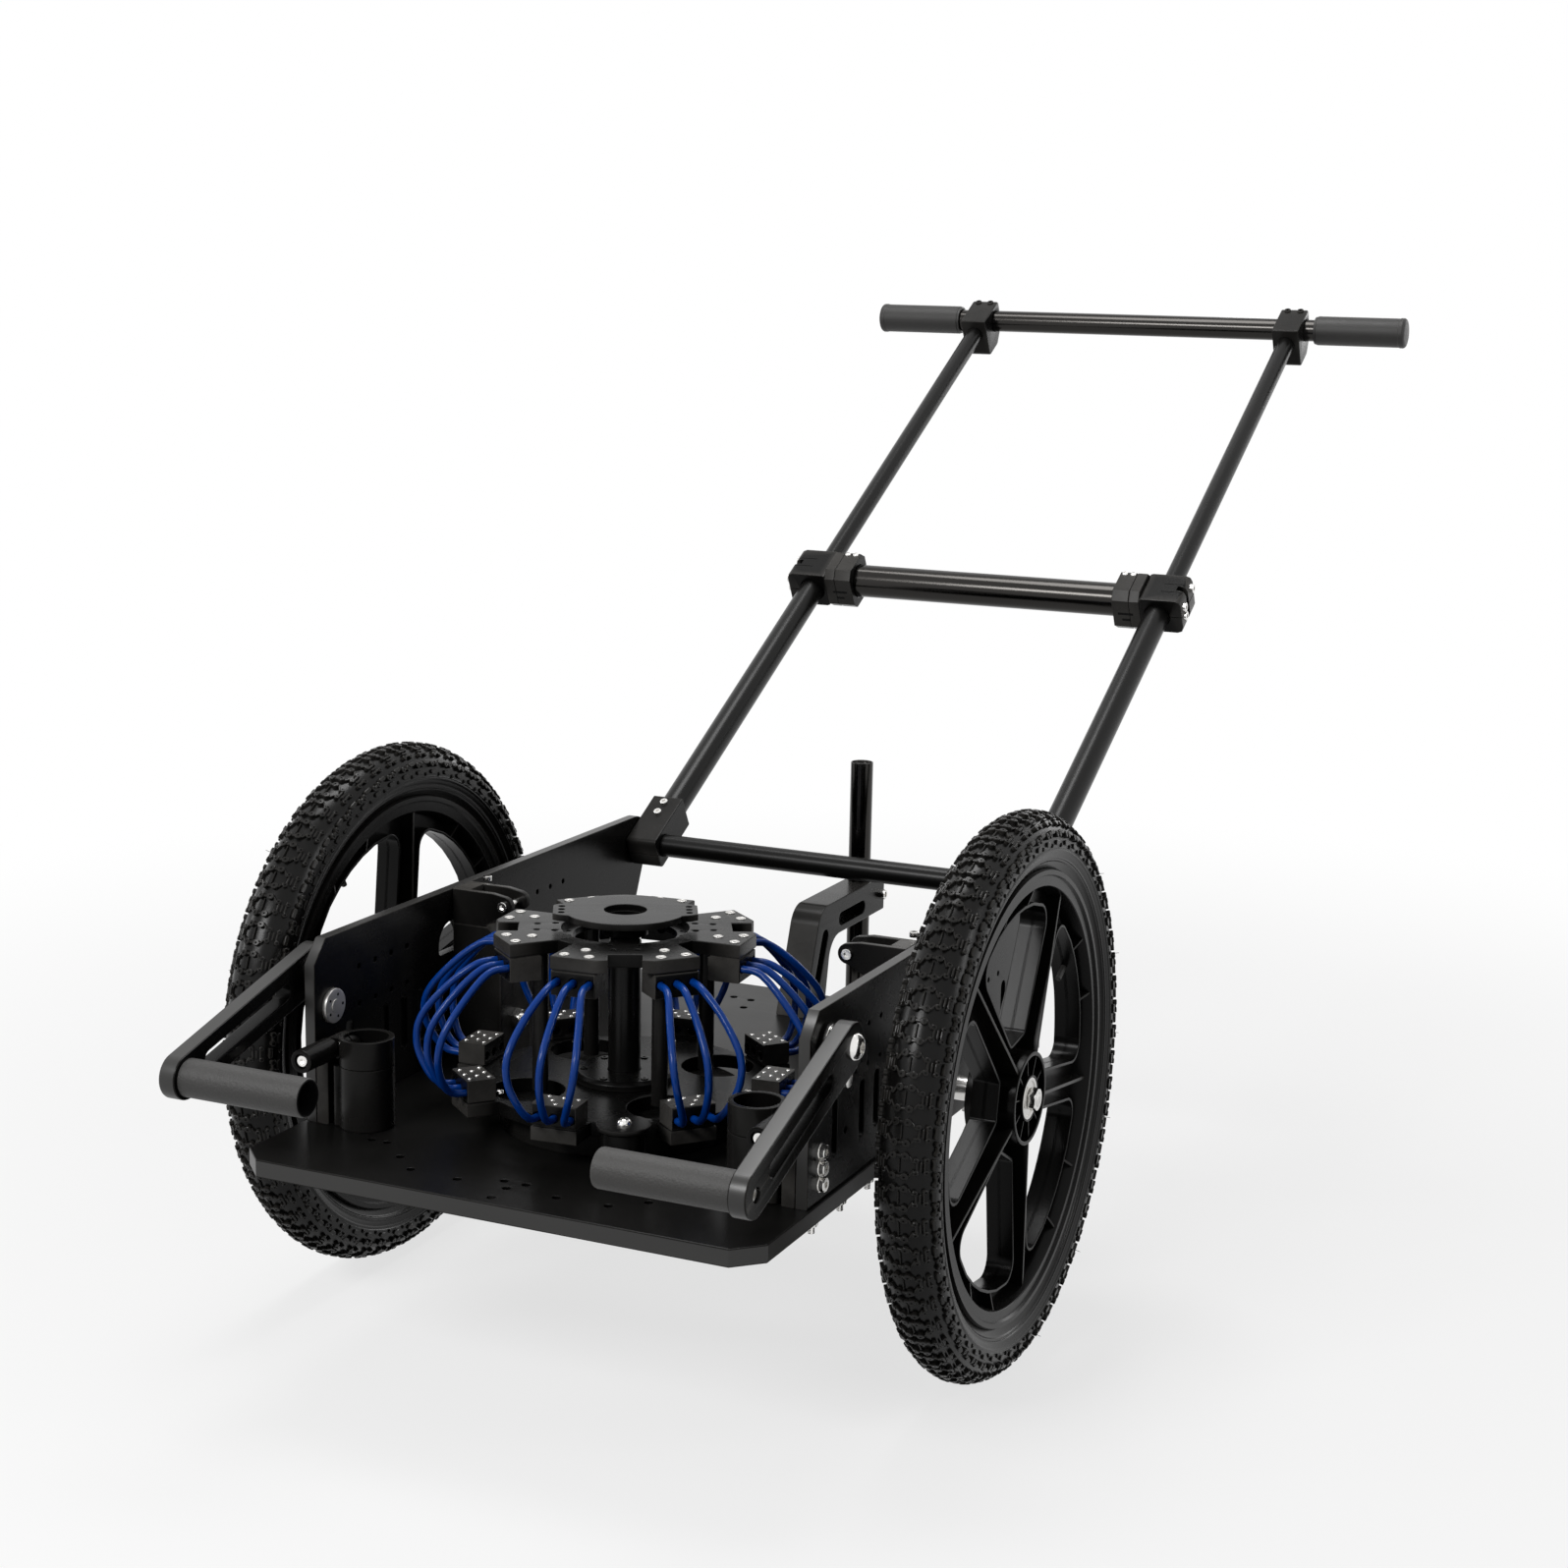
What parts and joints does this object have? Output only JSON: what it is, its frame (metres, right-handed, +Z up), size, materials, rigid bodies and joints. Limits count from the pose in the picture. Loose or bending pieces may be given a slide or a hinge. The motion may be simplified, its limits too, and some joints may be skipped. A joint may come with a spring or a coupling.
{
  "type": "camera rickshaw",
  "caption": "Two-wheeled camera cart with a flat deck, side plates, a telescoping tilting handle, swing-up front grips, a support leg and a wire-rope vibration isolator.",
  "frame": {"origin": "on the ground under the middle of the cart's bounding box", "axes": "+Z up, +Y towards the push handle, so the front grips face -Y, and +X towards the wheel that the picture shows on its right"},
  "size_m": [0.7266, 1.786, 0.9235],
  "materials": {
    "anodised": "satin",
    "gloss_tube": "gloss",
    "moulded": "matte",
    "rubber": "matte",
    "tyre": "matte",
    "steel": "satin",
    "rope": "gloss"
  },
  "bodies": {
    "chassis": {"deck": "anodised", "side_plate_left": "anodised", "side_plate_right": "anodised", "corner_block_left": "anodised", "corner_block_right": "anodised", "axle_housing_left": "anodised", "axle_housing_right": "anodised", "clevis_left": "anodised", "clevis_right": "anodised", "stub_axle_left": "steel", "stub_axle_right": "steel", "axle_nut_left": "steel", "axle_nut_right": "steel", "arm_pivot_bolt_left": "steel", "arm_pivot_bolt_right": "steel", "arm_stop_left": "steel", "arm_stop_right": "steel", "socket_body_left": "anodised", "socket_body_right": "anodised", "socket_collar_left": "anodised", "socket_collar_right": "anodised", "rear_bracket": "anodised", "leg_clamp_bolt": "steel", "isolator_pedestal": "anodised", "isolator_base_plate": "anodised", "guide_flange": "anodised", "isolator_hold_down": "anodised", "wire_ropes": "rope"},
    "handle_lower": {"crossbar": "gloss_tube", "mid_cross_tube": "gloss_tube", "base_clamp_left": "anodised", "base_clamp_right": "anodised", "lower_tube_left": "gloss_tube", "lower_tube_right": "gloss_tube", "mid_clamp_left": "anodised", "mid_clamp_right": "anodised"},
    "handle_upper": {"top_bar": "gloss_tube", "upper_tube_left": "gloss_tube", "upper_tube_right": "gloss_tube", "top_clamp_left": "anodised", "top_clamp_right": "anodised", "handle_grip_left": "rubber", "handle_grip_right": "rubber"},
    "isolator_platform": {"isolator_top_plate": "anodised", "centre_column": "gloss_tube", "payload_plate": "anodised"},
    "leg": {"support_leg": "gloss_tube", "leg_foot": "rubber"},
    "road_wheel_left": {"wheel_left": "moulded", "tyre_left": "tyre", "hub_cartridge_left": "steel"},
    "arm_left": {"front_arm_left": "anodised", "front_grip_left": "moulded"},
    "knob_left": {"clamp_knob_left": "moulded"},
    "road_wheel_right": {"wheel_right": "moulded", "tyre_right": "tyre", "hub_cartridge_right": "steel"},
    "arm_right": {"front_arm_right": "anodised", "front_grip_right": "moulded"},
    "knob_right": {"clamp_knob_right": "moulded"}
  },
  "joints": [
    {"name": "wheel_left_spin", "type": "hinge", "parent": "chassis", "child": "road_wheel_left", "pos_m": [-0.3208, -0.46069, 0.255], "axis": [1, 0, 0], "continuous": true},
    {"name": "wheel_right_spin", "type": "hinge", "parent": "chassis", "child": "road_wheel_right", "pos_m": [0.3208, -0.46069, 0.255], "axis": [1, 0, 0], "continuous": true},
    {"name": "handle_tilt", "type": "hinge", "parent": "chassis", "child": "handle_lower", "pos_m": [0, -0.11339, 0.3556], "axis": [1, 0, 0], "range_deg": [-28.9, 61]},
    {"name": "handle_extend", "type": "slide", "parent": "handle_lower", "child": "handle_upper", "axis": [0, 0.875, 0.484], "range_m": [-0.4, 0]},
    {"name": "arm_left_swing", "type": "hinge", "parent": "chassis", "child": "arm_left", "pos_m": [-0.26, -0.68369, 0.352], "axis": [-1, 0, 0], "range_deg": [-4.9, 150]},
    {"name": "arm_right_swing", "type": "hinge", "parent": "chassis", "child": "arm_right", "pos_m": [0.26, -0.68369, 0.352], "axis": [-1, 0, 0], "range_deg": [0, 150]},
    {"name": "leg_height", "type": "slide", "parent": "chassis", "child": "leg", "axis": [0, 0, 1], "range_m": [0, 0.25]},
    {"name": "isolator_bounce", "type": "slide", "parent": "chassis", "child": "isolator_platform", "axis": [0, 0, 1], "range_m": [-0.01, 0.01], "stiffness_N_per_m": 20000, "springref_m": 0.001, "deforming": ["wire_ropes"]},
    {"name": "clamp_left_turn", "type": "hinge", "parent": "chassis", "child": "knob_left", "pos_m": [-0.2185, -0.71459, 0.2889], "axis": [0, 1, 0], "continuous": true},
    {"name": "clamp_right_turn", "type": "hinge", "parent": "chassis", "child": "knob_right", "pos_m": [0.2185, -0.71459, 0.2889], "axis": [0, 1, 0], "continuous": true}
  ]
}
